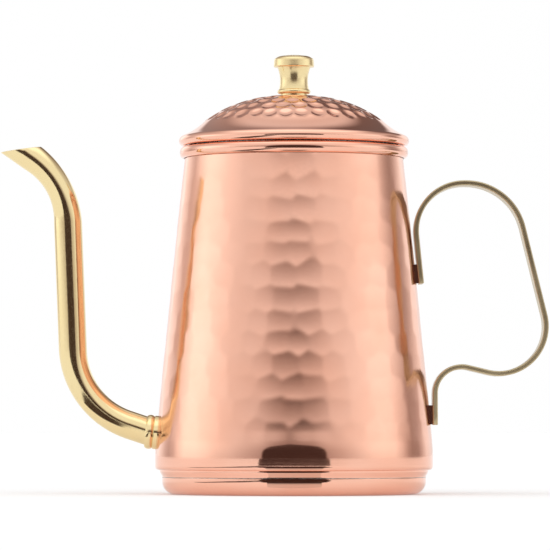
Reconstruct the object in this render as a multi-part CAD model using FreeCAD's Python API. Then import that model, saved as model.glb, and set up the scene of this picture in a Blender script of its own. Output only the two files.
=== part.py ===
import FreeCAD, Part
import math
import os

from FreeCAD import Vector

# A stovetop gooseneck kettle. Millimetres, +Z up, the origin in the middle of the underside.
# The spout lies towards -X and the handle towards +X, both in the plane y = 0.

# Clearances
joint_gap = 0.02          # soldered, riveted and screwed faces
seam_gap = 0.05           # between the base pan and the body that is spun over it
lid_seat_gap = 0.25       # under the lid's rolled edge
lid_slip_gap = 0.40       # around the lid's skirt in the mouth

# Body
copper_wall = 0.8
body_widest_radius = 55.0
body_mouth_radius = 42.8
body_side_bulge = 0.45    # how far the side stands out from a straight cone
body_lip_height = 9.6     # underside of the lip that is turned in over the base pan
body_lip_radius = 2.0
mouth_height = 137.1      # top of the mouth ring

# Base pan
base_heel_radius = 52.0
base_corner_radius = 6.2
base_neck_height = 9.0
base_lap_height = 16.5    # top of the wall that laps inside the body

# Mouth ring
ring_height = 4.6
ring_overhang = 2.3
ring_cap = 1.3
ring_inner_leg = 1.5
ring_edge_radius = 1.8

# Spout
spout_outer_radius = 5.55
spout_wall = 0.8
spout_bend_radius = 32.5
spout_root_height = 23.6  # where the spout's middle line meets the wall
spout_root_inset = 2.0    # how far the tube stands in past the wall
spout_low_corner_x = -86.4
spout_low_corner_z = 34.5
spout_top_corner_x = -89.95
spout_top_corner_z = 123.5
spout_tip_rise = 35.0     # degrees above level at the tip
spout_lip_run = 21.9      # from the top corner along the tip to the middle of the lip
spout_lip_tilt = 8.0      # degrees

# Spout collar
collar_rise = 6.0         # degrees above level, almost square to the wall
collar_flange_radius = 6.65
collar_flange_length = 1.5
collar_groove_radius = 6.2
collar_bead_radius = 6.8
collar_bead_length = 3.1

# Handle
strip_width = 15.0
strip_thickness = 2.0
handle_top_height = 122.6
handle_top_flat = 0.8     # straight stretch between the front and back bends
handle_back_bend = 23.0
handle_back_lean = 13.8   # degrees from upright
handle_heel_bend = 18.6
handle_lower_flat = 8.0   # straight stretch between the heel and hook bends
handle_lower_rise = 13.5  # degrees from level
handle_hook_bend = 10.5
handle_hook_height = 53.0
upper_foot_height = 82.8  # lower end of the upper foot
lower_foot_height = 27.3  # lower end of the lower foot

# Handle fixings
upper_pad_thickness = 0.7
lower_pad_thickness = 1.2
pad_width = 13.0
pad_height = 7.5
rivet_inset = 4.0         # from the end of the strip
rivet_spacing = 7.5
rivet_radius = 1.5
rivet_sink_radius = 2.5
rivet_sink_depth = 1.0
rivet_head_radius = 2.8
rivet_head_height = 1.3
burr_radius = 3.4
burr_thickness = 0.8

# Lid
lid_overhang = 0.4        # past the mouth ring
lid_curl_radius = 2.1
lid_shoulder_radius = 34.7
lid_shoulder_height = 10.7    # above the mouth ring
lid_crown_height = 20.2       # above the mouth ring, flat under the knob
lid_crown_radius = 6.0
lid_dome_sag = 2.3
lid_ogee_sag = 0.65
lid_curl_turn = 240.0     # degrees that the edge is rolled round
skirt_wall = 0.8
skirt_depth = 10.0        # below the top of the mouth ring

# Knob
knob_height = 16.1
knob_flange_radius = 8.0
knob_flange_height = 4.7
knob_top_radius = 4.2
knob_shoulder_height = 1.6
knob_shoulder_sag = 0.4
knob_neck_radius = 6.5
knob_neck_sag = 0.7
knob_waist_foot_radius = 5.9
knob_bead_radius = 6.55
knob_bead_height = 1.8
knob_foot_radius = 5.35
knob_foot_height = 0.8

# Knob fixings
screw_radius = 2.0
screw_grip = 8.0          # length inside the knob
screw_hole_spare = 1.0
screw_head_radius = 3.5
screw_head_height = 2.4
screw_drive_radius = 1.3
screw_drive_depth = 1.2
washer_radius = 5.0
washer_thickness = 0.8

# Degrees from the handle round to the seam of a turned wall
seam_turn = 90.0

UP = Vector(0, 0, 1)
ORIGIN = Vector(0, 0, 0)


def point(x, z):
    """A point of the middle plane."""
    return Vector(x, 0.0, z)


def line(start, end):
    """A straight edge."""
    return Part.LineSegment(start, end).toShape()


def arc(start, end, sag):
    """A round edge that stands off its chord by sag, to the left of the way from start to end."""
    chord = end - start
    left = Vector(-chord.z, 0.0, chord.x).normalize()
    middle = (start + end) * 0.5 + left * sag
    return Part.Arc(start, middle, end).toShape()


def dome_sag(radius, height):
    """How far half the outline of a round dome stands off its chord."""
    ball_radius = (radius ** 2 + height ** 2) / (2.0 * height)
    half_chord = math.hypot(radius, height) / 2.0
    return ball_radius - math.sqrt(ball_radius ** 2 - half_chord ** 2)


def round_corner(centre, radius, start_angle, end_angle):
    """A round edge about a centre, between two angles in degrees from +X towards +Z."""
    angles = (start_angle, (start_angle + end_angle) / 2.0, end_angle)
    spots = []
    for angle in angles:
        turn = math.radians(angle)
        spots.append(centre + point(radius * math.cos(turn), radius * math.sin(turn)))
    return Part.Arc(spots[0], spots[1], spots[2]).toShape()


def outward(solid):
    """The same solid with its faces pointing outwards."""
    if solid.Volume < 0:
        solid = solid.reversed()
    return solid


def turned(edges, base=ORIGIN, axis=UP):
    """A closed outline turned once round an axis."""
    face = Part.Face(Part.Wire(edges))
    return outward(face.revolve(base, axis, 360.0))


def turned_clear(edges):
    """An outline turned round the kettle's axis, with its seam away from the spout and the handle."""
    solid = turned(edges)
    solid.rotate(ORIGIN, UP, seam_turn)
    return solid


def closed(edges, corners):
    """A chain of edges, closed by straight runs through the corners."""
    start = edges[0].firstVertex(True).Point
    spot = edges[-1].lastVertex(True).Point
    ring = list(edges)
    for corner in list(corners) + [start]:
        ring.append(line(spot, corner))
        spot = corner
    return ring


def sheet(edges, thickness):
    """A chain of edges given a thickness on its left."""
    return Part.Wire(edges).makeOffset2D(thickness, 0, True, True)


def carved(shape, tools):
    """The shape with each tool cut away in turn."""
    for tool in tools:
        shape = shape.cut(tool)
    return shape.Solids[0]


def bent_path(corners, radii, shift=0.0):
    """Straight runs through the corners, each inner corner rounded by its own radius.

    The whole path is then moved sideways by shift, to its left.
    """
    ways = [(after - corner).normalize() for corner, after in zip(corners, corners[1:])]
    lefts = [point(-way.z, way.x) * shift for way in ways]
    edges = []
    start = corners[0] + lefts[0]
    for index, radius in enumerate(radii):
        way, next_way = ways[index], ways[index + 1]
        turn = way.getAngle(next_way)
        reach = radius * math.tan(turn / 2.0)
        corner = corners[index + 1]
        arc_start = corner - way * reach + lefts[index]
        arc_end = corner + next_way * reach + lefts[index + 1]
        inward = (next_way - way).normalize()
        bisector = (lefts[index] + lefts[index + 1]).dot(inward) / (2.0 * math.cos(turn / 2.0))
        arc_middle = corner + inward * (radius / math.cos(turn / 2.0) - radius + bisector)
        edges.append(line(start, arc_start))
        edges.append(Part.Arc(arc_start, arc_middle, arc_end).toShape())
        start = arc_end
    edges.append(line(start, corners[-1] + lefts[-1]))
    return edges


# Heights and radii that several pieces share
side_low_height = body_lip_height + body_lip_radius
side_top_height = mouth_height - ring_cap - joint_gap
ring_outer_radius = body_mouth_radius + ring_overhang
ring_low_height = mouth_height - ring_height
ring_bore_radius = body_mouth_radius - copper_wall - joint_gap - ring_inner_leg
lid_seat_height = mouth_height + lid_seat_gap
curl_centre_radius = ring_outer_radius + lid_overhang - lid_curl_radius
curl_centre_height = lid_seat_height + lid_curl_radius
crown_height = mouth_height + lid_crown_height


def side_edge(growth):
    """The body's side from its foot to its mouth, moved outwards by growth."""
    foot = point(body_widest_radius + growth, side_low_height)
    mouth = point(body_mouth_radius + growth, side_top_height)
    return arc(foot, mouth, -body_side_bulge)


def side_radius(height):
    """The body's outer radius at a height."""
    rise = side_top_height - side_low_height
    taper = body_widest_radius - body_mouth_radius
    half_chord = math.hypot(rise, taper) / 2.0
    radius = (half_chord ** 2 + body_side_bulge ** 2) / (2.0 * body_side_bulge)
    middle = point((body_widest_radius + body_mouth_radius) / 2.0, (side_low_height + side_top_height) / 2.0)
    inward = point(-rise, -taper).normalize()
    centre = middle + inward * (radius - body_side_bulge)
    return centre.x + math.sqrt(radius ** 2 - (height - centre.z) ** 2)


def side_slope(height):
    """The direction up the body's side, in the plane y = 0 towards the handle."""
    step = 1.0
    return point(side_radius(height + step) - side_radius(height), step).normalize()


def body_filled(growth):
    """Everything within the body's side, moved outwards by growth."""
    side = side_edge(growth)
    corners = (point(0.0, side_top_height), point(0.0, side_low_height))
    return turned_clear(closed([side], corners))


class HandleFoot:
    """One end of the handle strip: where its fixings go through the wall."""

    def __init__(self, low_height, upright, pad_thickness):
        self.upright = upright
        self.pad_thickness = pad_thickness
        self.hole_height = low_height + rivet_inset * upright.z
        self.normal = Vector(upright.z, 0.0, -upright.x)
        inner_x = side_radius(self.hole_height) + pad_thickness
        self.centre = point(inner_x, self.hole_height)
        self.end = self.centre - upright * rivet_inset
        self.saddle_drop = (rivet_spacing / 2.0) ** 2 / (2.0 * side_radius(self.hole_height))
        self.burr_depth = pad_thickness + self.saddle_drop + copper_wall + burr_thickness

    def placed(self, shape, side=0.0):
        """A shape whose +X is the way out of the wall, set at this foot."""
        tilt = math.degrees(math.atan2(self.upright.x, self.upright.z))
        turn = FreeCAD.Rotation(Vector(0, 1, 0), tilt)
        copy = shape.copy()
        copy.Placement = FreeCAD.Placement(self.centre + Vector(0, side, 0), turn)
        return copy

    def strip_point(self):
        """The end of the strip's middle line."""
        return self.end + self.normal * (strip_thickness / 2.0)


upper_foot = HandleFoot(upper_foot_height, side_slope(upper_foot_height), upper_pad_thickness)
lower_foot = HandleFoot(lower_foot_height, UP, lower_pad_thickness)
rivet_sides = (-rivet_spacing / 2.0, rivet_spacing / 2.0)


def rivet(foot, fit):
    """One rivet along +X: a domed head inside, a shank and an end sunk flush in the strip."""
    inside = -foot.burr_depth
    shank = rivet_radius + fit
    sink_start = strip_thickness - rivet_sink_depth
    head_start = point(inside - rivet_head_height, 0.0)
    head_rim = point(inside, rivet_head_radius)
    head_sag = dome_sag(rivet_head_radius, rivet_head_height)
    edges = [
        arc(head_start, head_rim, head_sag),
        line(head_rim, point(inside, shank)),
        line(point(inside, shank), point(sink_start, shank)),
        line(point(sink_start, shank), point(strip_thickness, rivet_sink_radius + fit)),
    ]
    return turned(closed(edges, [point(strip_thickness, 0.0)]), ORIGIN, Vector(1, 0, 0))


def rivet_group(foot):
    """The rivets of one foot."""
    return Part.makeCompound([foot.placed(rivet(foot, 0.0), side) for side in rivet_sides])


def rivet_holes(foot):
    """What the rivets of one foot need cut away."""
    return [foot.placed(rivet(foot, joint_gap), side) for side in rivet_sides]


def burr_group(foot):
    """The washers under the rivets' heads, dressed to the inside of the wall."""
    inside = body_filled(-copper_wall - joint_gap)
    burrs = []
    for side, hole in zip(rivet_sides, rivet_holes(foot)):
        length = foot.burr_depth
        blank = Part.makeCylinder(burr_radius, length, Vector(-length + joint_gap, 0, 0), Vector(1, 0, 0))
        burrs.append(foot.placed(blank, side).common(inside).cut(hole).Solids[0])
    return Part.makeCompound(burrs)


def handle_pad(foot):
    """The saddle that fills the space between the wall and the strip."""
    depth = foot.pad_thickness + copper_wall
    corner = Vector(-depth - joint_gap, -pad_width / 2.0, -pad_height / 2.0)
    block = foot.placed(Part.makeBox(depth, pad_width, pad_height, corner))
    return carved(block, [body_filled(joint_gap)] + rivet_holes(foot))


def bend_reach(radius, turn):
    """How far from its corner a bend starts, for a turn in degrees."""
    return radius * math.tan(math.radians(turn) / 2.0)


def handle_line():
    """The corners and bends of the strip's middle line; the front bend takes what room is left."""
    lean = math.radians(handle_back_lean)
    rise = math.radians(handle_lower_rise)
    leg_start = upper_foot.strip_point()
    leg_end = lower_foot.strip_point()
    heel_turn = 90.0 + handle_back_lean + handle_lower_rise
    hook_reach = bend_reach(handle_hook_bend, 90.0 + handle_lower_rise)
    lower_run = hook_reach + handle_lower_flat + bend_reach(handle_heel_bend, heel_turn)
    hook = point(leg_end.x, handle_hook_height)
    heel = hook + point(math.cos(rise), -math.sin(rise)) * lower_run
    back = heel + point(-math.tan(lean), 1.0) * (handle_top_height - heel.z)
    front = leg_start + upper_foot.upright * ((handle_top_height - leg_start.z) / upper_foot.upright.z)
    back_reach = bend_reach(handle_back_bend, 90.0 - handle_back_lean)
    front_reach = back.x - front.x - handle_top_flat - back_reach
    front_bend = front_reach / math.tan(upper_foot.upright.getAngle(point(1.0, 0.0)) / 2.0)
    corners = (leg_start, front, back, heel, hook, leg_end)
    return corners, (front_bend, handle_back_bend, handle_heel_bend, handle_hook_bend)


def handle_strip():
    """The flat strip, bent from one foot to the other."""
    corners, bends = handle_line()
    inner_side = bent_path(corners, bends, -strip_thickness / 2.0)
    outer_side = bent_path(corners, bends, strip_thickness / 2.0)
    ends = [
        line(inner_side[0].firstVertex(True).Point, outer_side[0].firstVertex(True).Point),
        line(inner_side[-1].lastVertex(True).Point, outer_side[-1].lastVertex(True).Point),
    ]
    outline = Part.Wire(Part.__sortEdges__(inner_side + outer_side + ends))
    strip = Part.Face(outline).extrude(Vector(0, strip_width, 0))
    strip.translate(Vector(0, -strip_width / 2.0, 0))
    return carved(outward(strip), rivet_holes(upper_foot) + rivet_holes(lower_foot))


# The spout's middle line
spout_root = point(-side_radius(spout_root_height), spout_root_height)
spout_low_corner = point(spout_low_corner_x, spout_low_corner_z)
spout_top_corner = point(spout_top_corner_x, spout_top_corner_z)
spout_root_way = (spout_low_corner - spout_root).normalize()
spout_tip_way = point(-math.cos(math.radians(spout_tip_rise)), math.sin(math.radians(spout_tip_rise)))
spout_lip = spout_top_corner + spout_tip_way * spout_lip_run
spout_past_lip = spout_lip + spout_tip_way * (4.0 * spout_outer_radius)


def spout_rod(radius):
    """A round rod along the spout's middle line, from inside the wall to past the lip."""
    start = spout_root - spout_root_way * (copper_wall + spout_root_inset)
    corners = [start, spout_low_corner, spout_top_corner, spout_past_lip]
    path = Part.Wire(bent_path(corners, (spout_bend_radius, spout_bend_radius)))
    section = Part.Wire(Part.makeCircle(radius, start, spout_root_way))
    return outward(path.makePipeShell([section], True, False))


def spout_tube():
    """The gooseneck: a bent tube whose lip is cut almost level."""
    tube = spout_rod(spout_outer_radius).cut(spout_rod(spout_outer_radius - spout_wall))
    size = 10.0 * spout_outer_radius
    above = Part.makeBox(size, size, size, Vector(-size / 2.0, -size / 2.0, 0.0))
    turn = FreeCAD.Rotation(Vector(0, 1, 0), -spout_lip_tilt)
    above.Placement = FreeCAD.Placement(spout_lip, turn)
    return tube.cut(above).Solids[0]


def spout_collar():
    """The turned ring that covers the joint between the spout and the wall; the tube leaves it at a slant."""
    reach = 2.0 * collar_flange_length
    bead_high = collar_flange_length + collar_bead_length
    bead_middle = collar_flange_length + collar_bead_length / 2.0
    bead_sag = collar_bead_radius - collar_groove_radius
    bead_start = point(collar_groove_radius, collar_flange_length)
    bead_end = point(collar_groove_radius, bead_high)
    corners = [
        point(0.0, bead_high),
        point(0.0, -reach),
        point(collar_flange_radius, -reach),
        point(collar_flange_radius, collar_flange_length),
    ]
    ring = turned(closed([arc(bead_start, bead_end, -bead_sag)], corners))
    rise = math.radians(collar_rise)
    way = point(-math.cos(rise), math.sin(rise))
    along = bead_middle / way.dot(spout_root_way)
    ring.Placement = FreeCAD.Placement(spout_root + spout_root_way * along - way * bead_middle,
                                       FreeCAD.Rotation(UP, way))
    return carved(ring, [spout_rod(spout_outer_radius + joint_gap), body_filled(joint_gap)])


def body_shell():
    """The tapered copper side with its lower edge turned in, open at the mouth."""
    lip = point(body_widest_radius - body_lip_radius, side_low_height)
    foot_inside = point(body_widest_radius - copper_wall, side_low_height)
    mouth_outside = point(body_mouth_radius, side_top_height)
    mouth_inside = point(body_mouth_radius - copper_wall, side_top_height)
    edges = [
        round_corner(lip, body_lip_radius, -90.0, 0.0),
        side_edge(0.0),
        line(mouth_outside, mouth_inside),
        arc(mouth_inside, foot_inside, body_side_bulge),
        round_corner(lip, body_lip_radius - copper_wall, 0.0, -90.0),
    ]
    shell = turned_clear(closed(edges, []))
    spout_hole = spout_rod(spout_outer_radius + joint_gap)
    holes = [spout_hole] + rivet_holes(upper_foot) + rivet_holes(lower_foot)
    return carved(shell, holes)


def base_pan():
    """The pressed bottom: a floor, a rounded heel, a neck and a wall that laps inside the body."""
    neck_radius = body_widest_radius - body_lip_radius - seam_gap
    lap_low = side_low_height + copper_wall
    lap_wall = copper_wall + seam_gap
    floor_edge = point(base_heel_radius - base_corner_radius, 0.0)
    heel = point(base_heel_radius, base_corner_radius)
    heel_centre = point(floor_edge.x, heel.z)
    neck = point(neck_radius, base_neck_height)
    neck_top = point(neck_radius, body_lip_height + copper_wall)
    lap_start = point(side_radius(lap_low) - lap_wall, lap_low)
    lap_end = point(side_radius(base_lap_height) - lap_wall, base_lap_height)
    edges = [
        line(ORIGIN, floor_edge),
        round_corner(heel_centre, base_corner_radius, -90.0, 0.0),
        line(heel, neck),
        line(neck, neck_top),
        line(neck_top, lap_start),
        line(lap_start, lap_end),
    ]
    inner = [
        point(lap_end.x - copper_wall, lap_end.z),
        point(lap_start.x - copper_wall, lap_start.z),
        point(neck_top.x - copper_wall, neck_top.z),
        point(neck.x - copper_wall, neck.z),
        point(heel.x - copper_wall, heel.z),
    ]
    inside = [line(spot, after) for spot, after in zip([lap_end] + inner, inner)]
    inside.append(round_corner(heel_centre, base_corner_radius - copper_wall, 0.0, -90.0))
    return turned(closed(edges + inside, [point(0.0, copper_wall)]))


def mouth_ring():
    """The rounded ring that caps the body's upper edge and makes the mouth."""
    slot_outer = side_radius(ring_low_height) + joint_gap
    slot_inner = body_mouth_radius - copper_wall - joint_gap
    top_round = point(ring_outer_radius - ring_edge_radius, mouth_height - ring_edge_radius)
    low_round = point(ring_outer_radius - ring_edge_radius, ring_low_height + ring_edge_radius)
    slot_top = side_top_height + joint_gap
    edges = [
        line(point(slot_outer, slot_top), point(slot_outer, ring_low_height)),
        line(point(slot_outer, ring_low_height), point(low_round.x, ring_low_height)),
        round_corner(low_round, ring_edge_radius, -90.0, 0.0),
        line(point(ring_outer_radius, low_round.z), point(ring_outer_radius, top_round.z)),
        round_corner(top_round, ring_edge_radius, 0.0, 90.0),
    ]
    corners = [
        point(ring_bore_radius, mouth_height),
        point(ring_bore_radius, ring_low_height),
        point(slot_inner, ring_low_height),
        point(slot_inner, slot_top),
    ]
    return turned(closed(edges, corners))


def lid_outline(drop):
    """The lid's outer line from its crown to the start of its rolled edge, lowered by drop."""
    crown_middle = point(0.0, crown_height - drop)
    crown = point(lid_crown_radius, crown_height - drop)
    shoulder = point(lid_shoulder_radius, mouth_height + lid_shoulder_height - drop)
    brim = point(curl_centre_radius, curl_centre_height + lid_curl_radius - drop)
    return [
        line(crown_middle, crown),
        arc(crown, shoulder, lid_dome_sag),
        arc(shoulder, brim, -lid_ogee_sag),
    ]


def lid_dome():
    """The lid: a dome on an ogee brim, with its edge rolled under."""
    curl_centre = point(curl_centre_radius, curl_centre_height)
    edges = lid_outline(0.0)
    edges.append(round_corner(curl_centre, lid_curl_radius, 90.0, 90.0 - lid_curl_turn))
    dome = outward(sheet(edges, -copper_wall).revolve(ORIGIN, UP, 360.0))
    hole_depth = 2.0 * copper_wall
    hole_base = point(0.0, crown_height - hole_depth)
    hole = Part.makeCylinder(screw_radius + joint_gap, 2.0 * hole_depth, hole_base)
    return dome.cut(hole).Solids[0]


def lid_skirt():
    """The ring under the lid that holds it in the mouth, dressed to the underside of the brim."""
    outer = ring_bore_radius - lid_slip_gap
    low = mouth_height - skirt_depth
    base = point(0.0, low)
    blank = Part.makeCylinder(outer, skirt_depth + lid_crown_height, base)
    bore = Part.makeCylinder(outer - skirt_wall, skirt_depth + lid_crown_height, base)
    underside = lid_outline(2.0 * copper_wall)
    corners = [point(curl_centre_radius, low), point(0.0, low)]
    return blank.cut(bore).common(turned(closed(underside, corners))).Solids[0]


def lid_knob():
    """The turned knob: a flange on a waisted neck, with a bead at its foot."""
    foot = crown_height + joint_gap
    foot_top = foot + knob_foot_height
    bead_top = foot_top + knob_bead_height
    top = crown_height + knob_height
    flange_low = top - knob_flange_height
    flange_top = top - knob_shoulder_height
    bead_sag = knob_bead_radius - (knob_foot_radius + knob_waist_foot_radius) / 2.0
    edges = [
        line(point(0.0, foot), point(knob_foot_radius, foot)),
        line(point(knob_foot_radius, foot), point(knob_foot_radius, foot_top)),
        arc(point(knob_foot_radius, foot_top), point(knob_waist_foot_radius, bead_top), -bead_sag),
        arc(point(knob_waist_foot_radius, bead_top), point(knob_neck_radius, flange_low), knob_neck_sag),
        line(point(knob_neck_radius, flange_low), point(knob_flange_radius, flange_low)),
        line(point(knob_flange_radius, flange_low), point(knob_flange_radius, flange_top)),
        arc(point(knob_flange_radius, flange_top), point(knob_top_radius, top), -knob_shoulder_sag),
    ]
    knob = turned(closed(edges, [point(0.0, top)]))
    hole = Part.makeCylinder(screw_radius + joint_gap, screw_grip + screw_hole_spare, point(0.0, foot))
    return knob.cut(hole)


def knob_washer():
    """The washer under the lid's crown."""
    top = crown_height - copper_wall - joint_gap
    base = point(0.0, top - washer_thickness)
    ring = Part.makeCylinder(washer_radius, washer_thickness, base)
    return ring.cut(Part.makeCylinder(screw_radius + joint_gap, washer_thickness, base))


def knob_screw():
    """The screw that holds the knob from inside the lid, with a six-sided drive."""
    head_top = crown_height - copper_wall - washer_thickness - 2.0 * joint_gap
    head_low = head_top - screw_head_height
    head = Part.makeCylinder(screw_head_radius, screw_head_height, point(0.0, head_low))
    shank_length = crown_height + screw_grip - head_top
    shank = Part.makeCylinder(screw_radius, shank_length, point(0.0, head_top))
    corners = []
    for side in range(7):
        turn = math.radians(60.0 * side)
        spot = Vector(screw_drive_radius * math.cos(turn), screw_drive_radius * math.sin(turn), head_low)
        corners.append(spot)
    drive = Part.Face(Part.makePolygon(corners)).extrude(UP * screw_drive_depth)
    return head.fuse(shank).cut(drive).removeSplitter().Solids[0]


pieces = {
    "body_shell": body_shell(),
    "base_pan": base_pan(),
    "mouth_ring": mouth_ring(),
    "spout_tube": spout_tube(),
    "spout_collar": spout_collar(),
    "handle_strip": handle_strip(),
    "upper_handle_pad": handle_pad(upper_foot),
    "lower_handle_pad": handle_pad(lower_foot),
    "upper_handle_rivets": rivet_group(upper_foot),
    "lower_handle_rivets": rivet_group(lower_foot),
    "upper_rivet_burrs": burr_group(upper_foot),
    "lower_rivet_burrs": burr_group(lower_foot),
    "lid_dome": lid_dome(),
    "lid_skirt": lid_skirt(),
    "lid_knob": lid_knob(),
    "knob_washer": knob_washer(),
    "knob_screw": knob_screw(),
}

os.makedirs("parts", exist_ok=True)
for name, shape in pieces.items():
    shape.exportStep("parts/" + name + ".step")
    box = shape.BoundBox
    print(name, len(shape.Solids), "solid", round(shape.Volume, 1), "mm3", shape.isValid(),
          [round(value, 2) for value in (box.XMin, box.YMin, box.ZMin, box.XMax, box.YMax, box.ZMax)])
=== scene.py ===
# %% [markdown]
# # A copper gooseneck kettle
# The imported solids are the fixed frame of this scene: they say where every piece is and how it moves.
# Here the kettle gets its looks. Thin metal pieces are modelled again with rounded edges and hammer marks,
# and the pieces that are already right only get a better metal.

# %% Load the frame
import math
import random

import bmesh
import bpy
import numpy as np
from mathutils import Matrix, Vector


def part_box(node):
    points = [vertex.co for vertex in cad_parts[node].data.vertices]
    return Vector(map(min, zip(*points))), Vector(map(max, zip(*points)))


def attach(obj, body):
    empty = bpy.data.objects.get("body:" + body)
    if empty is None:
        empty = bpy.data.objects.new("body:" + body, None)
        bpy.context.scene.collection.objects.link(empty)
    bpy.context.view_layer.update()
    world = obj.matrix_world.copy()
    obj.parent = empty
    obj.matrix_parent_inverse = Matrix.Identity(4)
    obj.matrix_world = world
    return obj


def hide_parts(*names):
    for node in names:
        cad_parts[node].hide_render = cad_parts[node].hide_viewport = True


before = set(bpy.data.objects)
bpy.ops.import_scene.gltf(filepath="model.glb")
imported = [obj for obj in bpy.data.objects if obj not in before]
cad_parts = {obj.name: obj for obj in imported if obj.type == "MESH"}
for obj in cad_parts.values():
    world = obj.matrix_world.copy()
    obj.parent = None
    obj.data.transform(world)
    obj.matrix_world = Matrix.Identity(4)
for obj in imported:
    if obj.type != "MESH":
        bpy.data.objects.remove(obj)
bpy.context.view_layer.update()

print("nodes in the frame:", sorted(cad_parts))

# %% [markdown]
# ## Millimetres and boxes
# Kitchen metalwork is drawn in millimetres, and the frame is in metres.
# So each piece is modelled in millimetres and scaled once, when it is finished.
# The box of a CAD node gives heights and outer radii, so that the looks stay on the solids. Other sizes are
# named values beside the piece that they belong to.

# %% Boxes in millimetres
MM = 0.001


def box_mm(node):
    """The lowest and highest corner of a CAD node, in millimetres."""
    low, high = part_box(node)
    return low / MM, high / MM


body_low, body_high = box_mm("body_shell")
ring_low, ring_high = box_mm("mouth_ring")
_, base_high = box_mm("base_pan")
lid_low, lid_high = box_mm("lid_dome")
knob_low, knob_high = box_mm("lid_knob")
print("body", tuple(round(value, 2) for value in body_low), tuple(round(value, 2) for value in body_high))

# %% [markdown]
# ## Outlines
# A turned or spun piece is an outline carried once round an axis, as on a lathe.
# It could be stacked from cylinders and cones, but polished metal shows every joint between them.
# An outline needs few corners: round stretches come from an arc with a sag, and each corner has its
# own rounding. Beside a rounding sits a holding point, so that smooth shading keeps the long flats flat.

# %% Arcs and rounded outlines
HOLD = 0.3


def arc_points(start, end, sag, steps):
    """Points after start, up to end, on an arc that stands off its chord by sag, on the left."""
    start, end = Vector(start), Vector(end)
    chord = end - start
    half = chord.length / 2.0
    left = Vector((-chord.y, chord.x)).normalized()
    radius = (half ** 2 + sag ** 2) / (2.0 * sag)
    centre = (start + end) / 2.0 + left * (sag - radius)
    turn = -4.0 * math.atan(sag / half)
    spoke = start - centre
    return [centre + Matrix.Rotation(turn * step / steps, 2) @ spoke for step in range(1, steps + 1)]


def rounded(corners, steps=5):
    """A closed outline through corners of radius, height and rounding."""
    outline = []
    for index, (across, up, rounding) in enumerate(corners):
        corner = Vector((across, up))
        if rounding == 0.0:
            outline.append(corner)
            continue
        back = (Vector(corners[index - 1][:2]) - corner).normalized()
        onward = (Vector(corners[(index + 1) % len(corners)][:2]) - corner).normalized()
        half_turn = (math.pi - back.angle(onward)) / 2.0
        reach = rounding * math.tan(half_turn)
        start, end = corner + back * reach, corner + onward * reach
        turns_left = back.x * onward.y - back.y * onward.x < 0.0
        sag = rounding * (1.0 - math.cos(half_turn)) * (-1.0 if turns_left else 1.0)
        outline.append(start + back * HOLD * rounding)
        outline.append(start)
        outline.extend(arc_points(start, end, sag, steps))
        outline.append(end + onward * HOLD * rounding)
    return outline


# %% Turning an outline
MERGE = 0.0005


def turned(outline, steps, closed=True):
    """A mesh in millimetres: the outline turned once round the upright axis."""
    bm = bmesh.new()
    spots = [bm.verts.new((spot[0], 0.0, spot[1])) for spot in outline]
    followers = spots[1:] + spots[:1] if closed else spots[1:]
    edges = [bm.edges.new(pair) for pair in zip(spots, followers)]
    bmesh.ops.spin(bm, geom=spots + edges, cent=(0, 0, 0), axis=(0, 0, 1),
                   angle=math.tau, steps=steps, use_merge=True)
    bmesh.ops.remove_doubles(bm, verts=bm.verts[:], dist=MERGE)
    bmesh.ops.recalc_face_normals(bm, faces=bm.faces[:])
    return bm


# %% Finishing a piece
SHARP = math.radians(42.0)


def finish_piece(name, bm, finishes, body, slot, *nodes):
    """Makes an object in metres from a mesh in millimetres. It rides on a body and stands for nodes."""
    bmesh.ops.scale(bm, vec=(MM, MM, MM), verts=bm.verts[:])
    for face in bm.faces:
        face.smooth = True
    for edge in bm.edges:
        edge.smooth = edge.calc_face_angle(0.0) < SHARP
    mesh = bpy.data.meshes.new(name)
    bm.to_mesh(mesh)
    open_edges = sum(1 for edge in bm.edges if not edge.is_manifold)
    bm.free()
    for finish in finishes:
        mesh.materials.append(finish)
    piece = bpy.data.objects.new(name, mesh)
    bpy.context.scene.collection.objects.link(piece)
    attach(piece, body)
    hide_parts(*nodes)
    print(name, len(mesh.polygons), "faces,", open_edges, "open edges")


# %% [markdown]
# ## Metals
# A polished metal is almost all reflection, so its look comes from small differences.
# The tone drifts a little over the surface, the polish is finer in some places than in others,
# and the polishing wheel leaves faint lines. One function makes all the metals from these three layers.
# Pictures of metal could be wrapped round the pieces, but noise on object coordinates needs no unwrapping
# and has no seams.

# %% Node helpers
def add_node(tree, kind, inputs=None, **settings):
    """A new shader node; an input is a plain value or another node's output."""
    node = tree.nodes.new(kind)
    for setting, value in settings.items():
        setattr(node, setting, value)
    for socket, value in (inputs or {}).items():
        if isinstance(value, bpy.types.NodeSocket):
            tree.links.new(value, node.inputs[socket])
        else:
            node.inputs[socket].default_value = value
    return node


def maths(tree, operation, first, second=0.0):
    """The output of a Math node."""
    return add_node(tree, "ShaderNodeMath", {0: first, 1: second}, operation=operation).outputs[0]


def blend(tree, share, first, second):
    """A value between two others, the second where the share is one."""
    return add_node(tree, "ShaderNodeMix", {"Factor": share, "A": first, "B": second}).outputs[0]


def spread(tree, value, low, high, to_low, to_high):
    """A value moved smoothly from one range to another."""
    inputs = {"Value": value, "From Min": low, "From Max": high, "To Min": to_low, "To Max": to_high}
    return add_node(tree, "ShaderNodeMapRange", inputs, interpolation_type="SMOOTHSTEP").outputs[0]


# %% Grain that follows the tool
def straight_grain(tree, stretch):
    """Noise drawn out along some axes of the piece."""
    place = add_node(tree, "ShaderNodeTexCoord").outputs["Object"]
    drawn = add_node(tree, "ShaderNodeMapping", {"Vector": place, "Scale": stretch}).outputs[0]
    return add_node(tree, "ShaderNodeTexNoise", {"Vector": drawn, "Scale": 1.0, "Detail": 4.0}).outputs["Fac"]


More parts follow.
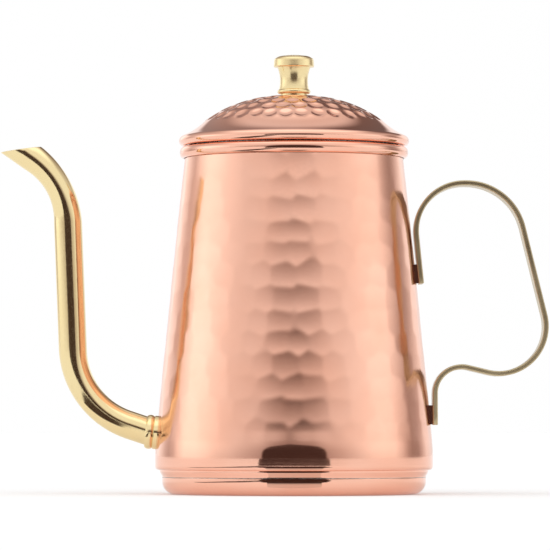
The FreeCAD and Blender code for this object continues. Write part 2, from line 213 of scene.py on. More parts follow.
def lathe_grain(tree, fineness):
    """Noise that changes with radius and height but hardly round the axis, as turning leaves it."""
    place = add_node(tree, "ShaderNodeTexCoord").outputs["Object"]
    parts = add_node(tree, "ShaderNodeSeparateXYZ", {0: place}).outputs
    flat = add_node(tree, "ShaderNodeCombineXYZ", {"X": parts["X"], "Y": parts["Y"]}).outputs[0]
    radius = add_node(tree, "ShaderNodeVectorMath", {0: flat}, operation="LENGTH").outputs["Value"]
    angle = maths(tree, "ARCTAN2", parts["Y"], parts["X"])
    place = add_node(tree, "ShaderNodeCombineXYZ", {
        "X": maths(tree, "MULTIPLY", radius, fineness),
        "Y": maths(tree, "MULTIPLY", parts["Z"], fineness),
        "Z": maths(tree, "MULTIPLY", maths(tree, "ABSOLUTE", angle), 1.5),
    }).outputs[0]
    return add_node(tree, "ShaderNodeTexNoise", {"Vector": place, "Scale": 1.0, "Detail": 3.0}).outputs["Fac"]


# %% One function for every metal
DRIFT_SCALE, GRAIN_SHARE = 34.0, 0.6


def metal(name, bright, deep, polish, grain, grain_depth):
    """A metal whose tone, polish and tool marks change over the surface.

    bright and deep are the two tones it drifts between, polish the lowest and highest roughness,
    grain a function that lays the tool marks, and grain_depth their height in metres.
    """
    finish = bpy.data.materials.new(name)
    finish.use_nodes = True
    tree = finish.node_tree
    surface = tree.nodes["Principled BSDF"]
    surface.inputs["Metallic"].default_value = 1.0
    place = add_node(tree, "ShaderNodeTexCoord").outputs["Object"]
    cloud = add_node(tree, "ShaderNodeTexNoise", {"Vector": place, "Scale": DRIFT_SCALE, "Detail": 5.0})
    drift = cloud.outputs["Fac"]
    share = spread(tree, drift, 0.3, 0.75, 0.0, 1.0)
    tone = add_node(tree, "ShaderNodeMix", {"Factor": share, "A": (*bright, 1.0), "B": (*deep, 1.0)},
                    data_type="RGBA")
    tree.links.new(tone.outputs["Result"], surface.inputs["Base Color"])
    marks = grain(tree)
    worn = blend(tree, GRAIN_SHARE, drift, marks)
    tree.links.new(spread(tree, worn, 0.3, 0.7, *polish), surface.inputs["Roughness"])
    relief = add_node(tree, "ShaderNodeBump", {"Height": marks, "Distance": grain_depth, "Strength": 1.0})
    tree.links.new(relief.outputs["Normal"], surface.inputs["Normal"])
    return finish


# %% The kettle's metals
COPPER, COPPER_DEEP = (0.95, 0.537, 0.400), (0.93, 0.492, 0.352)
BRASS, BRASS_DEEP = (0.89, 0.734, 0.415), (0.87, 0.69, 0.367)
hammered_copper = metal("hammered_copper", COPPER, COPPER_DEEP, (0.12, 0.18),
                        lambda tree: straight_grain(tree, (900.0, 900.0, 900.0)), 0.000002)
polished_copper = metal("polished_copper", COPPER, COPPER_DEEP, (0.045, 0.09),
                        lambda tree: lathe_grain(tree, 1500.0), 0.0000006)
tinned_copper = metal("tinned_copper", (0.80, 0.78, 0.74), (0.70, 0.67, 0.62), (0.22, 0.38),
                      lambda tree: straight_grain(tree, (500.0, 500.0, 90.0)), 0.000006)
polished_brass = metal("polished_brass", BRASS, BRASS_DEEP, (0.09, 0.15),
                       lambda tree: straight_grain(tree, (700.0, 700.0, 700.0)), 0.0000008)
turned_brass = metal("turned_brass", BRASS, BRASS_DEEP, (0.20, 0.28),
                     lambda tree: lathe_grain(tree, 2600.0), 0.0000012)
strip_brass = metal("strip_brass", (0.58, 0.475, 0.295), (0.49, 0.395, 0.235), (0.26, 0.36),
                    lambda tree: straight_grain(tree, (60.0, 3200.0, 60.0)), 0.000004)
plated_steel = metal("plated_steel", (0.72, 0.71, 0.69), (0.62, 0.61, 0.59), (0.16, 0.28),
                     lambda tree: lathe_grain(tree, 1800.0), 0.000002)
print("metals:", sorted(material.name for material in bpy.data.materials if material.use_nodes))

# %% [markdown]
# ## The body's side
# The body is a spun copper cone with a very slight belly. A plain cone would be simpler, but the belly shows
# in the outline, so the side is one long arc from foot to mouth.
# The lowest centimetre was left smooth and is almost upright, so it mirrors other things than the rest does.
# The side's radius at a height is worked out from the arc, because the spout and the handle need it too.

# %% The side's arc
WALL, BELLY, SIDE_START = 0.8, 0.45, 2.0
side_low, side_top = body_low.z + SIDE_START, body_high.z
foot_radius, mouth_radius = 55.0, 42.8


def side_radius(height):
    """The radius of the body's side at a height."""
    rise, taper = side_top - side_low, foot_radius - mouth_radius
    half = math.hypot(rise, taper) / 2.0
    radius = (half ** 2 + BELLY ** 2) / (2.0 * BELLY)
    inward = Vector((-rise, -taper)).normalized()
    middle = Vector(((foot_radius + mouth_radius) / 2.0, (side_low + side_top) / 2.0))
    centre = middle + inward * (radius - BELLY)
    return centre.x + math.sqrt(radius ** 2 - (height - centre.y) ** 2)


def side_slope(height):
    """The direction up the side, as radius and height."""
    return Vector((side_radius(height + 1.0) - side_radius(height), 1.0)).normalized()


print("side radius at mid height", round(side_radius((side_low + side_top) / 2.0), 2))

# %% [markdown]
# ## Spinning the body
# The shell could be one surface with a Solidify modifier. A closed outline is spun instead, because the lip,
# the edge and both walls are then one skin, and each wall can have rows of its own.
# The outline runs up the outside in rows finer than a millimetre, over the edge, and down the inside in
# long rows, which get finer again where the spout's hole is cut. Fine rows are needed for the hammer marks,
# and four hundred and twenty steps round make square faces there.

# %% The body's outline
FOOT_TOP, FOOT_TURN = 20.6, 6.4
SWELL, SWELL_TOP = 0.3, 75.0
LIP, LIP_HOLE = 1.4, foot_radius - 2.0
ROW, LONG_ROW, LONG_ROWS, ROOT_TOP, ROOT_ROWS = 0.78, 3.2, 32, 35.0, 24
CORNER_IN, CORNER_DOWN, BODY_STEPS = 0.4, 0.7, 420
foot_way = side_slope(FOOT_TOP)
foot_lean = -foot_way.x / foot_way.y


def outside_radius(height):
    """The outside of the body: its side, a little swollen low down, that turns upright at the foot."""
    share = min(1.0, max(0.0, (SWELL_TOP - height) / (SWELL_TOP - FOOT_TOP)))
    radius = side_radius(max(height, FOOT_TOP)) + SWELL * share * share * (3.0 - 2.0 * share)
    drop = min(FOOT_TURN, max(0.0, FOOT_TOP - height))
    return radius + foot_lean * (drop - drop * drop / (2.0 * FOOT_TURN))


lip_top = body_low.z + LIP
band_radius = outside_radius(lip_top)
lip_bottom = Vector((band_radius - LIP, body_low.z))
outside = [Vector((LIP_HOLE, body_low.z)), lip_bottom]
outside += arc_points(lip_bottom, (band_radius, lip_top), -LIP * (1.0 - math.sqrt(0.5)), 8)
rows = round((side_top - lip_top) / ROW)
for row in range(1, rows + 1):
    height = lip_top + (side_top - lip_top) * row / rows
    outside.append(Vector((outside_radius(height), height)))
inside = []
long_rows = [side_top - LONG_ROW * row for row in range(LONG_ROWS)]
root_rows = [ROOT_TOP - row for row in range(ROOT_ROWS)]
for height in long_rows + root_rows:
    inside.append(Vector((side_radius(height) - WALL, height)))
inside.append(inside[-1] - Vector((CORNER_IN, CORNER_DOWN)))
inside.append(Vector((LIP_HOLE, body_low.z + WALL)))
body = turned(outside + inside, BODY_STEPS)
print("body rows", len(outside), "outside,", len(inside), "inside, foot radius", round(band_radius, 2))

# %% [markdown]
# ## Hammer marks
# A planishing hammer with a nearly flat face leaves shallow dishes that meet in soft ridges.
# A bump texture could draw them, but only real dishes bend the outline and the reflections together.
# The blows go round in rows, each a little out of place, and get lighter towards the mouth.
# A dish is a parabola. Where two dishes overlap, the deeper one wins, and the ridge between them is rounded
# over as if by polishing. The marks only ever go inwards, and they fade out above the smooth foot.

# %% Strike the blows
HAMMER_FOOT = 22.0
BLOW_ROW, BLOW_GAP, BLOW_DEPTH, DISH = 8.6, 9.4, 0.13, 130.0
ROW_LEAN, STRAY_ROUND, STRAY_UP = 0.5, 0.3, 0.06
FORCES, FACES = (0.86, 1.14), (0.84, 1.22)
UPPER_CALM, CALM_FROM = 0.30, 62.0
FIRST_ROW, LAST_ROW = HAMMER_FOOT + 2.5, side_top - 3.0
hand = random.Random(11)
blows = []
row_height = FIRST_ROW
while row_height < LAST_ROW:
    count = round(math.tau * side_radius(row_height) / BLOW_GAP)
    start = hand.random() * math.tau
    lean = hand.uniform(-ROW_LEAN, ROW_LEAN)
    calm = 1.0 - UPPER_CALM * min(1.0, max(0.0, (row_height - CALM_FROM) / (side_top - CALM_FROM)))
    for blow in range(count):
        angle = start + math.tau * (blow + hand.uniform(-STRAY_ROUND, STRAY_ROUND)) / count
        height = row_height + hand.uniform(-STRAY_UP, STRAY_UP) * BLOW_ROW + lean * math.sin(angle)
        depth = BLOW_DEPTH * calm * hand.uniform(*FORCES)
        bowl = DISH * hand.uniform(*FACES) / calm
        reach = side_radius(height)
        blows.append((reach * math.cos(angle), reach * math.sin(angle), height, depth, bowl))
    row_height += BLOW_ROW
print("blows on the body", len(blows))


# %% How deep a point is struck
RIDGE = 0.011


def dent_depths(points, marks):
    """How deep each point is struck: about as deep as the deepest of the dishes that reach it."""
    total = np.ones(len(points))
    for x, y, z, depth, bowl in marks:
        away = ((points - (x, y, z)) ** 2).sum(axis=1) / (2.0 * bowl)
        near = away < 2.0 * depth
        total[near] += np.exp((depth - away[near]) / RIDGE)
    return RIDGE * np.log(total)


# %% Press the marks into the side
FADE, FADE_LOW = 5.0, HAMMER_FOOT - 2.0
struck = []
for vert in body.verts:
    reach = math.hypot(vert.co.x, vert.co.y)
    if vert.co.z > FADE_LOW and reach > side_radius(vert.co.z) - WALL / 2.0:
        struck.append(vert)
depths = dent_depths(np.array([vert.co for vert in struck]), blows)
for vert, depth in zip(struck, depths):
    fade = min(1.0, (vert.co.z - FADE_LOW) / FADE)
    vert.co -= Vector((vert.co.x, vert.co.y, 0.0)).normalized() * depth * fade
print("deepest mark", round(float(depths.max()), 3), "mm")

# %% [markdown]
# ## The hole for the spout
# The spout's tube goes through the wall, so the water has a way out. A Boolean modifier could cut the hole,
# but it leaves thin faces that shade badly on polished metal. Here the faces within the tube are deleted on
# both walls, the open edges are drawn onto one circle about the spout's line, and the two loops are bridged.
# The edge hides inside the tube's wall.

# %% The spout's line
TUBE, TUBE_WALL = 5.55, 0.8
SPOUT_ROOT_HEIGHT, SPOUT_INSET = 23.6, 2.0
spout_root = Vector((-side_radius(SPOUT_ROOT_HEIGHT), 0.0, SPOUT_ROOT_HEIGHT))
spout_low = Vector((-86.4, 0.0, 34.5))
spout_top = Vector((-89.95, 0.0, 123.5))
TIP_RISE, LIP_RUN = math.radians(35.0), 21.9
spout_lip = spout_top + Vector((-math.cos(TIP_RISE), 0.0, math.sin(TIP_RISE))) * LIP_RUN
root_way = (spout_low - spout_root).normalized()
HOLE = TUBE - TUBE_WALL / 2.0


def from_spout_line(spot):
    """The way from the spout's line to a spot, square to that line."""
    arm = spot - spout_root
    return arm - root_way * arm.dot(root_way)


print("spout rises", round(math.degrees(math.asin(root_way.z)), 1), "degrees at its root")

# %% Open the wall
SMOOTH_TOP = HAMMER_FOOT - 1.0
through = [face for face in body.faces
           if face.calc_center_median().x < 0.0 and from_spout_line(face.calc_center_median()).length < HOLE]
bmesh.ops.delete(body, geom=through, context="FACES")
rim = [edge for edge in body.edges if edge.is_boundary]
for vert in {vert for edge in rim for vert in edge.verts}:
    arm = from_spout_line(vert.co)
    vert.co += arm.normalized() * (HOLE - arm.length)
bmesh.ops.bridge_loops(body, edges=rim)
for face in body.faces:
    middle = face.calc_center_median()
    if face.normal.dot(Vector((middle.x, middle.y, 0.0))) < 0.0:
        face.material_index = 1
    elif middle.z < SMOOTH_TOP:
        face.material_index = 2
body_metals = [hammered_copper, tinned_copper, polished_copper]
finish_piece("hammered_body", body, body_metals, "kettle", "hammered_copper", "body_shell")

# %% [markdown]
# ## The base pan
# The bottom is a pressed pan that stands in the body's foot. Its heel is a generous round, then it flares to
# a neck and disappears inside the body. A cylinder with a bevel would show the heel alone. An outline that
# runs out along the outside and back along the inside also gives the pan its wall, which shows in the mouth.

# %% Spin the base pan
HEEL_RADIUS, HEEL_ROUND, WAIST_RADIUS, WAIST_HEIGHT = 52.15, 5.2, 52.0, 7.2
LAP_ROOM, SPIN_STEPS, FACING_FLOOR = 0.05, 192, -0.05
NECK_RADIUS, NECK_HEIGHT, NECK_TOP = LIP_HOLE - LAP_ROOM, 8.9, body_low.z + WALL
LAP_LOW, LAP_TOP = side_low + WALL, base_high.z
lap_low_radius = side_radius(LAP_LOW) - WALL - LAP_ROOM
lap_top_radius = side_radius(LAP_TOP) - WALL - LAP_ROOM
pan = rounded([
    (0.0, 0.0, 0.0),
    (HEEL_RADIUS, 0.0, HEEL_ROUND),
    (WAIST_RADIUS, WAIST_HEIGHT, 1.0),
    (NECK_RADIUS, NECK_HEIGHT, 0.5),
    (NECK_RADIUS, NECK_TOP, 0.3),
    (lap_low_radius, LAP_LOW, 0.3),
    (lap_top_radius, LAP_TOP, 0.2),
    (lap_top_radius - WALL, LAP_TOP, 0.2),
    (lap_low_radius - WALL, LAP_LOW, 0.3),
    (NECK_RADIUS - WALL, NECK_TOP, 0.3),
    (NECK_RADIUS - WALL, NECK_HEIGHT, 0.8),
    (HEEL_RADIUS - WALL, WALL, HEEL_ROUND - WALL),
    (0.0, WALL, 0.0),
], 9)
base = turned(pan, SPIN_STEPS, closed=False)
for face in base.faces:
    middle = face.calc_center_median()
    outer = face.normal.z < FACING_FLOOR or face.normal.dot(Vector((middle.x, middle.y, 0.0))) > 0.0
    face.material_index = 0 if outer else 1
finish_piece("spun_base", base, [polished_copper, tinned_copper], "kettle", "polished_copper", "base_pan")

# %% [markdown]
# ## The mouth ring
# A rounded ring caps the raw upper edge of the body and gives the lid a seat.
# A torus would be quicker, but this ring has a flat bore and a slot for the body's edge.
# So it is turned from an outline that goes up into the slot and down again.

# %% Turn the mouth ring
RING_ROUND, RING_BORE, SLOT_ROOM = 1.8, 40.48, 0.02
ring_outer, slot_top = ring_high.x, body_high.z + SLOT_ROOM
slot_outer, slot_inner = side_radius(ring_low.z) + SLOT_ROOM, mouth_radius - WALL - SLOT_ROOM
ring = turned(rounded([
    (slot_outer, slot_top, 0.0),
    (slot_outer, ring_low.z, 0.3),
    (ring_outer, ring_low.z, RING_ROUND),
    (ring_outer, ring_high.z, RING_ROUND),
    (RING_BORE, ring_high.z, 0.4),
    (RING_BORE, ring_low.z, 0.4),
    (slot_inner, ring_low.z, 0.2),
    (slot_inner, slot_top, 0.0),
]), SPIN_STEPS)
finish_piece("rounded_mouth_ring", ring, [polished_copper], "kettle", "polished_copper", "mouth_ring")

# %% [markdown]
# ## The lid
# The lid is a dome on an ogee brim, with its edge rolled under so that it is stiff and safe to hold.
# Part of a sphere could make the dome, but not the brim or the roll, so the lid is turned from
# a line of its own: a flat under the knob and three arcs end to end.
# The dome will carry rings of small round dimples, so its outer line has many more rows than its inner one.

# %% The lid's outline
CROWN, CROWN_RADIUS = knob_low.z - SLOT_ROOM, 6.0
CURL, CURL_SHEET = 2.1, 0.8
curl_centre = Vector((lid_high.x - CURL, lid_low.z + CURL))
BRIM_SLOPE = math.radians(27.0)
SHOULDER, SHOULDER_DROP, SHOULDER_SHIFT = 34.7, 9.5, 0.3
DOME_SAG, OGEE_SAG = 2.3, 0.55
CURL_START, CURL_END, CURL_ROWS = math.pi / 2.0 - BRIM_SLOPE, math.radians(-150.0), 20
OGEE_ROWS, OUTER_ROWS, INNER_ROWS, LID_STEPS = 16, 84, 24, 414


def on_curl(radius, angle):
    """A point on the rolled edge."""
    return curl_centre + Vector((math.cos(angle), math.sin(angle))) * radius


def lid_line(drop, curl_radius, dome_rows):
    """The lid's line from its middle to the end of its rolled edge, lowered by drop."""
    crown = Vector((CROWN_RADIUS, CROWN - drop))
    shoulder = Vector((SHOULDER - SHOULDER_SHIFT * drop, CROWN - SHOULDER_DROP - drop))
    brim = on_curl(curl_radius, CURL_START)
    line = [Vector((0.0, CROWN - drop)), crown]
    line += arc_points(crown, shoulder, DOME_SAG, dome_rows)
    line += arc_points(shoulder, brim, -OGEE_SAG, OGEE_ROWS)
    turn = (CURL_END - CURL_START) / CURL_ROWS
    line += [on_curl(curl_radius, CURL_START + turn * step) for step in range(1, CURL_ROWS + 1)]
    return line


outer_line = lid_line(0.0, CURL, OUTER_ROWS)
inner_line = lid_line(CURL_SHEET, CURL - CURL_SHEET, INNER_ROWS)
lid = turned(outer_line + inner_line[::-1], LID_STEPS, closed=False)
print("lid faces", len(lid.faces))

# %% [markdown]
# ## Dimples on the lid
# Each dimple is one blow of a small ball-ended punch. They stand in rings, closer to a pattern than the
# body's marks but still struck by hand, so place and depth wander a little. Small spheres could be cut out
# of the dome, but pressing its points in, with the same dishes as on the body, keeps one smooth skin.

# %% Punch the dimples
DIMPLE_RINGS = (33.3, 28.1, 22.9, 17.7, 12.5)
DIMPLE_GAP, DIMPLE_RADIUS, DIMPLE_DEPTH, DIMPLED_EDGE = 6.3, 3.0, 0.70, 37.5
DIMPLE_STRAY, RING_STRAY, PUNCH_FORCES = 0.1, 0.3, (0.8, 1.15)
FACING_UP, FACING_DOWN, TINNED_EDGE = 0.3, -0.2, 41.0
lid_top_verts = [vert for vert in lid.verts
                 if vert.normal.z > FACING_UP and CROWN_RADIUS < vert.co.xy.length < DIMPLED_EDGE]
heights = sorted((vert.co.xy.length, vert.co.z) for vert in lid_top_verts)
ring_radii = np.array([spot[0] for spot in heights])
ring_heights = np.array([spot[1] for spot in heights])
dimples = []
for ring_radius in DIMPLE_RINGS:
    count = round(math.tau * ring_radius / DIMPLE_GAP)
    start = hand.random() * math.tau
    for dimple in range(count):
        angle = start + math.tau * (dimple + hand.uniform(-DIMPLE_STRAY, DIMPLE_STRAY)) / count
        reach = ring_radius + hand.uniform(-RING_STRAY, RING_STRAY)
        depth = DIMPLE_DEPTH * hand.uniform(*PUNCH_FORCES)
        height = float(np.interp(reach, ring_radii, ring_heights))
        bowl = DIMPLE_RADIUS ** 2 / (2.0 * depth)
        dimples.append((reach * math.cos(angle), reach * math.sin(angle), height, depth, bowl))
depths = dent_depths(np.array([vert.co for vert in lid_top_verts]), dimples)
for vert, depth in zip(lid_top_verts, depths):
    vert.co -= vert.normal * float(depth)
for face in lid.faces:
    inner = face.normal.z < FACING_DOWN and face.calc_center_median().xy.length < TINNED_EDGE
    face.material_index = 1 if inner else 0
print("dimples", len(dimples))
finish_piece("dimpled_lid", lid, [polished_copper, tinned_copper], "lid", "polished_copper", "lid_dome")

# %% [markdown]
# ## The knob
# The knob is turned from brass bar: a flange to pinch, a waisted neck and a bead that meets the lid.
# It could be put together from a disc, a cone and a ring, but one outline leaves no faces inside and keeps
# the curve of the neck smooth.

# %% Turn the knob
FLANGE_RADIUS, FLANGE_LOW, FLANGE_TOP = knob_high.x, knob_high.z - 4.7, knob_high.z - 1.4
FLANGE_TAPER, KNOB_EDGE, KNOB_FALL, KNOB_FLAT = 0.22, 6.2, 0.45, 3.2
NECK, WAIST_FOOT, BEAD_FOOT = 6.5, 5.9, 5.35
BEAD_RISE, BEAD_TALL, BEAD_SAG, WAIST_SAG, KNOB_STEPS = 0.78, 1.8, 0.92, 0.7, 128
bead_low, bead_top = knob_low.z + BEAD_RISE, knob_low.z + BEAD_RISE + BEAD_TALL
flange = rounded([
    (NECK, FLANGE_LOW, 0.0),
    (FLANGE_RADIUS, FLANGE_LOW, 0.45),
    (FLANGE_RADIUS - FLANGE_TAPER, FLANGE_TOP, 1.1),
    (KNOB_EDGE, knob_high.z - KNOB_FALL, 2.0),
    (KNOB_FLAT, knob_high.z, 2.5),
    (0.0, knob_high.z, 0.0),
])
knob_line = [Vector((0.0, knob_low.z)), Vector((BEAD_FOOT, knob_low.z)), Vector((BEAD_FOOT, bead_low))]
knob_line += arc_points((BEAD_FOOT, bead_low), (WAIST_FOOT, bead_top), -BEAD_SAG, 14)
knob_line += arc_points((WAIST_FOOT, bead_top), (NECK, FLANGE_LOW), WAIST_SAG, 22)
knob = turned(knob_line + flange[1:], KNOB_STEPS, closed=False)
finish_piece("turned_knob", knob, [turned_brass], "lid", "polished_brass", "lid_knob")

# %% [markdown]
# ## Carrying a section along a route
# The spout and the handle are bent stock: one section carried along straight runs and round bends.
# A curve object with a bevel could do this too. Here the section's edges are extruded and moved step by step,
# pushed along a run and turned about a bend's centre, so that each bend has a true radius.
# A bent tube goes slightly oval, so a bend can also squeeze the section in the plane of the bend.

# %% Carry a section
ACROSS = Vector((0.0, -1.0, 0.0))


def step_on(bm, loop):
    """Extrudes a loop of edges in place; gives the new edges and verts."""
    made = bmesh.ops.extrude_edge_only(bm, edges=loop)["geom"]
    verts = [item for item in made if isinstance(item, bmesh.types.BMVert)]
    fresh = set(verts)
    edges = [item for item in made if isinstance(item, bmesh.types.BMEdge) and set(item.verts) <= fresh]
    return edges, verts


def squeeze_loop(bm, verts, centre, way, factor):
    """Scales a section in the plane of the bend, square to the way it goes."""
    side = ACROSS.cross(way)
    axes = Matrix((way, ACROSS, side)).to_4x4()
    bmesh.ops.scale(bm, vec=(1.0, 1.0, factor), space=axes @ Matrix.Translation(-centre), verts=verts)


def carry(bm, loop, corners, radii, run_step, turn_step, squeezes=None):
    """Carries a loop of edges through the corners of a route, round a bend of its own radius at each."""
    ways = [(after - corner).normalized() for corner, after in zip(corners, corners[1:])]
    turns = [ACROSS.dot(way.cross(after)) for way, after in zip(ways, ways[1:])]
    turns = [math.copysign(way.angle(after), turn) for way, after, turn in zip(ways, ways[1:], turns)]
    reaches = [0.0] + [radius * math.tan(abs(turn) / 2.0) for radius, turn in zip(radii, turns)] + [0.0]
    for index, way in enumerate(ways):
        length = (corners[index + 1] - corners[index]).length - reaches[index] - reaches[index + 1]
        steps = max(1, round(length / run_step))
        for _ in range(steps):
            loop, verts = step_on(bm, loop)
            bmesh.ops.translate(bm, vec=way * (length / steps), verts=verts)
        if index == len(radii):
            break
        turn = turns[index]
        spot = corners[index + 1] - way * reaches[index + 1]
        hub = spot + ACROSS.cross(way) * math.copysign(radii[index], turn)
        steps = max(1, round(abs(turn) / turn_step))
        squeeze = squeezes[index] if squeezes else 0.0
        for step in range(1, steps + 1):
            loop, verts = step_on(bm, loop)
            swing = Matrix.Rotation(turn / steps, 3, ACROSS)
            bmesh.ops.rotate(bm, cent=hub, matrix=swing, verts=verts)
            if squeeze:
                so_far = 1.0 - squeeze * math.sin(math.pi * (step - 1) / steps)
                now = 1.0 - squeeze * math.sin(math.pi * step / steps)
                part = Matrix.Rotation(turn * step / steps, 3, ACROSS)
                squeeze_loop(bm, verts, hub + part @ (spot - hub), part @ way, now / so_far)
    return loop


# %% [markdown]
# ## The spout
# The gooseneck is a brass tube with two bends. It could simply stop at its last section, but then the lip
# would be square to the tube. So the tube is carried past its end, given its wall, and then cut almost level
# at the lip, and the rim lies in one plane as a file would leave it.

# %% Bend the spout
SPOUT_BEND, SPOUT_OVALS, SPOUT_SIDES = 32.5, (0.04, 0.09), 72
SPOUT_RUN_STEP, SPOUT_TURN_STEP, TIP_SPARE = 4.0, math.radians(2.5), 4.0 * TUBE
tip_way = (spout_lip - spout_top).normalized()
tip_end = spout_lip + tip_way * TIP_SPARE
route = [spout_root - root_way * (WALL + SPOUT_INSET), spout_low, spout_top, tip_end]
spout = bmesh.new()
aim = root_way.to_track_quat("Z", "Y").to_matrix().to_4x4()
bmesh.ops.create_circle(spout, segments=SPOUT_SIDES, radius=TUBE, matrix=Matrix.Translation(route[0]) @ aim)
carry(spout, spout.edges[:], route, (SPOUT_BEND, SPOUT_BEND), SPOUT_RUN_STEP, SPOUT_TURN_STEP, SPOUT_OVALS)
bmesh.ops.recalc_face_normals(spout, faces=spout.faces[:])
bmesh.ops.solidify(spout, geom=spout.faces[:], thickness=TUBE_WALL)
print("spout verts", len(spout.verts), "reach", round(max(vert.co.z for vert in spout.verts), 2))

# %% Cut the lip
LIP_TILT, LIP_SOFT, CUT = math.radians(8.0), 0.18, 0.0001
lip_normal = Vector((-math.sin(LIP_TILT), 0.0, math.cos(LIP_TILT)))
bmesh.ops.bisect_plane(spout, geom=spout.verts[:] + spout.edges[:] + spout.faces[:], dist=CUT,
                       plane_co=spout_lip, plane_no=lip_normal, clear_outer=True)
lip_edges = [edge for edge in spout.edges if edge.is_boundary]
bmesh.ops.bridge_loops(spout, edges=lip_edges)
bmesh.ops.bevel(spout, geom=lip_edges, offset=LIP_SOFT, offset_type="OFFSET", affect="EDGES",
                segments=3, profile=0.5, material=-1)
bmesh.ops.recalc_face_normals(spout, faces=spout.faces[:])
finish_piece("bent_spout", spout, [polished_brass], "kettle", "polished_brass", "spout_tube")

# %% [markdown]
# ## The collar
# A small turned ring covers the joint where the spout leaves the wall: a flange, a groove and a bead.
# It sits almost square to the wall, so the tube leaves it at a slant. A ring about the tube's own line would
# be simpler, but it would stand askew on the wall. So the collar is turned upright, laid in place, its bore
# is drawn onto the tube, and it is cut off inside the wall.

# %% Turn the collar
COLLAR_RISE = math.radians(6.0)
FLANGE, FLANGE_LENGTH, GROOVE, BEAD, BEAD_LENGTH = 6.65, 1.5, 6.2, 6.8, 3.1
COLLAR_BORE, COLLAR_REACH, COLLAR_SUNK = TUBE + SLOT_ROOM, 3.0, 0.55
bead_middle, bead_end = FLANGE_LENGTH + BEAD_LENGTH / 2.0, FLANGE_LENGTH + BEAD_LENGTH
collar_line = [Vector((GROOVE, bead_end)), Vector((COLLAR_BORE, bead_end))]
collar_line.append(Vector((COLLAR_BORE, -COLLAR_REACH)))
collar_line += rounded([
    (FLANGE, -COLLAR_REACH, 0.0),
    (FLANGE, FLANGE_LENGTH, 0.3),
    (GROOVE, FLANGE_LENGTH, 0.1),
])
collar_line += arc_points((GROOVE, FLANGE_LENGTH), (GROOVE, bead_end), GROOVE - BEAD, 12)[:-1]
collar = turned(collar_line, 96)
bore_verts = [vert for vert in collar.verts if vert.co.xy.length < COLLAR_BORE + 0.01]

# %% Lay the collar on the wall
collar_way = Vector((-math.cos(COLLAR_RISE), 0.0, math.sin(COLLAR_RISE)))
collar_foot = spout_root + root_way * (bead_middle / collar_way.dot(root_way)) - collar_way * bead_middle
collar_aim = collar_way.to_track_quat("Z", "Y").to_matrix().to_4x4()
bmesh.ops.transform(collar, matrix=Matrix.Translation(collar_foot) @ collar_aim, verts=collar.verts[:])
for vert in bore_verts:
    arm = from_spout_line(vert.co)
    vert.co += arm.normalized() * (COLLAR_BORE - arm.length)
wall_up = side_slope(SPOUT_ROOT_HEIGHT)
wall_out = Vector((-wall_up.y, 0.0, -wall_up.x))
bmesh.ops.bisect_plane(collar, geom=collar.verts[:] + collar.edges[:] + collar.faces[:], dist=CUT,
                       plane_co=spout_root - wall_out * COLLAR_SUNK, plane_no=-wall_out, clear_outer=True)
bmesh.ops.bridge_loops(collar, edges=[edge for edge in collar.edges if edge.is_boundary])
bmesh.ops.recalc_face_normals(collar, faces=collar.faces[:])
finish_piece("turned_collar", collar, [polished_brass], "kettle", "polished_brass", "spout_collar")

# %% [markdown]
# ## The handle
# The handle is a flat brass strip, bent cold in one plane. A free curve could follow its outline, but the
# strip has straight runs and round bends, and those are easy to measure and to change. Its corners follow
# from the two feet on the body's side, and the front bend takes whatever room is left over.

# %% The handle's route
STRIP, STRIP_WIDTH, UPPER_PAD, LOWER_PAD = 2.0, 15.0, 0.7, 1.2
RIVET_INSET, RIVET_SPACING = 4.0, 7.5
UPPER_FOOT, LOWER_FOOT = 82.8, 27.3
HANDLE_TOP, TOP_FLAT, BACK_BEND, BACK_LEAN = 122.6, 0.8, 23.0, math.radians(13.8)
HEEL_BEND, LOWER_FLAT, LOWER_RISE, HOOK_BEND, HOOK_HEIGHT = 18.6, 8.0, math.radians(13.5), 10.5, 53.0


def foot_frame(low_height, upright, pad):
    """A foot's rivet point on the strip's inner face, its way up and its way out."""
    hole_height = low_height + RIVET_INSET * upright.z
    spot = Vector((side_radius(hole_height) + pad, 0.0, hole_height))
    return spot, upright, Vector((upright.z, 0.0, -upright.x))


def bend_reach(radius, turn):
    """How far from its corner a bend starts."""
    return radius * math.tan(turn / 2.0)


slope = side_slope(UPPER_FOOT)
upper_foot = foot_frame(UPPER_FOOT, Vector((slope.x, 0.0, slope.y)), UPPER_PAD)
lower_foot = foot_frame(LOWER_FOOT, Vector((0.0, 0.0, 1.0)), LOWER_PAD)
leg_start, leg_end = (spot - up * RIVET_INSET + out * (STRIP / 2.0)
                      for spot, up, out in (upper_foot, lower_foot))
quarter = math.pi / 2.0
lower_run = bend_reach(HOOK_BEND, quarter + LOWER_RISE) + LOWER_FLAT
lower_run += bend_reach(HEEL_BEND, quarter + BACK_LEAN + LOWER_RISE)
hook = Vector((leg_end.x, 0.0, HOOK_HEIGHT))
heel = hook + Vector((math.cos(LOWER_RISE), 0.0, -math.sin(LOWER_RISE))) * lower_run
back = heel + Vector((-math.tan(BACK_LEAN), 0.0, 1.0)) * (HANDLE_TOP - heel.z)
upper_way = upper_foot[1]
front = leg_start + upper_way * ((HANDLE_TOP - leg_start.z) / upper_way.z)
front_room = back.x - front.x - TOP_FLAT - bend_reach(BACK_BEND, quarter - BACK_LEAN)
front_bend = front_room / math.tan(upper_way.angle(Vector((1.0, 0.0, 0.0))) / 2.0)
print("front bend", round(front_bend, 2), "mm, heel at", tuple(round(value, 1) for value in heel))

